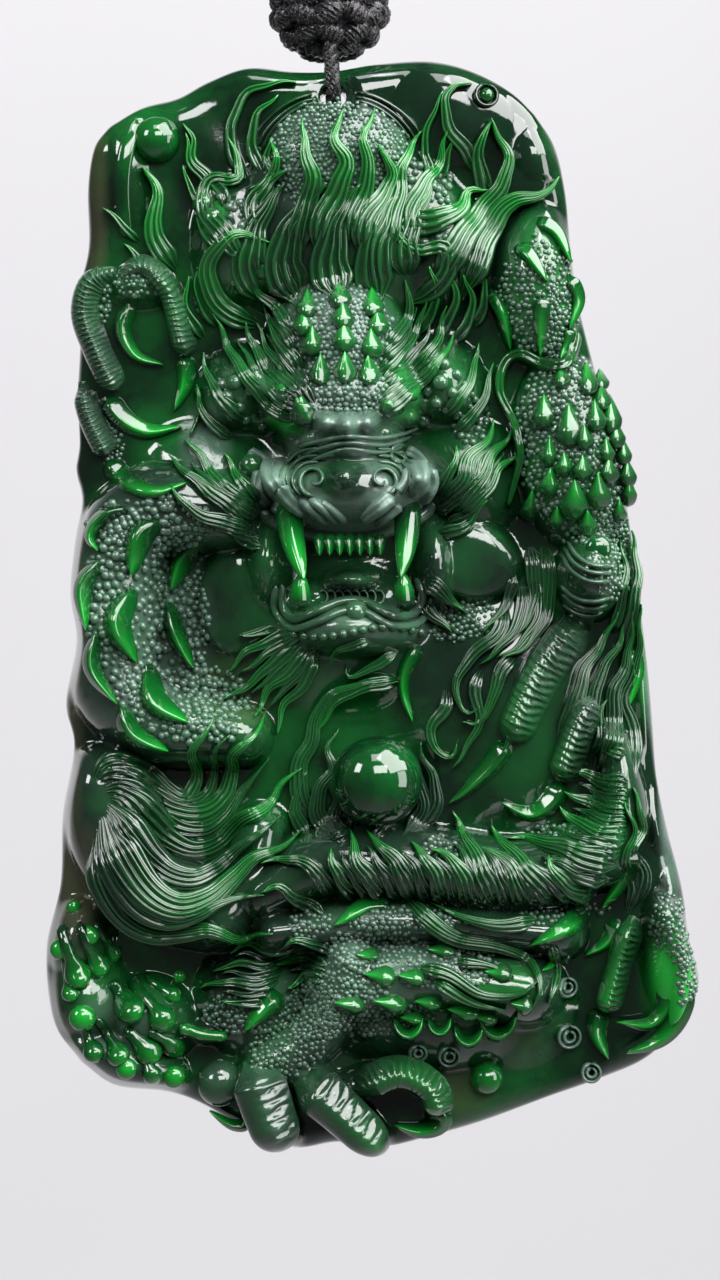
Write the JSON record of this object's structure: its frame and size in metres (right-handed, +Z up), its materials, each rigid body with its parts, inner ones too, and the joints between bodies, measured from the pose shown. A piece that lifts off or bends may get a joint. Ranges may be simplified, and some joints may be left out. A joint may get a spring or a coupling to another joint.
{
  "type": "jade dragon pendant",
  "caption": "Carved green stone plaque with a raised dragon, drilled at the top and hung from a knotted loop of black cord.",
  "frame": {"origin": "inside the top of the cord loop, where the pendant hangs", "axes": "+Z up along the plaque's length, +X to the viewer's right, the carved face looks towards -Y"},
  "size_m": [0.0451, 0.0159, 0.1085],
  "materials": {
    "jade": "polished",
    "cord": "woven"
  },
  "bodies": {
    "cord": {"hanging_cord": "cord", "cord_knot": "cord", "cord_bight": "cord"},
    "plaque": {"jade_plaque": "jade"}
  },
  "joints": [
    {"name": "plaque_swing", "type": "hinge", "parent": "cord", "child": "plaque", "pos_m": [0, 0, -0.0348], "axis": [0, 1, 0], "range_deg": [-12, 12]}
  ]
}
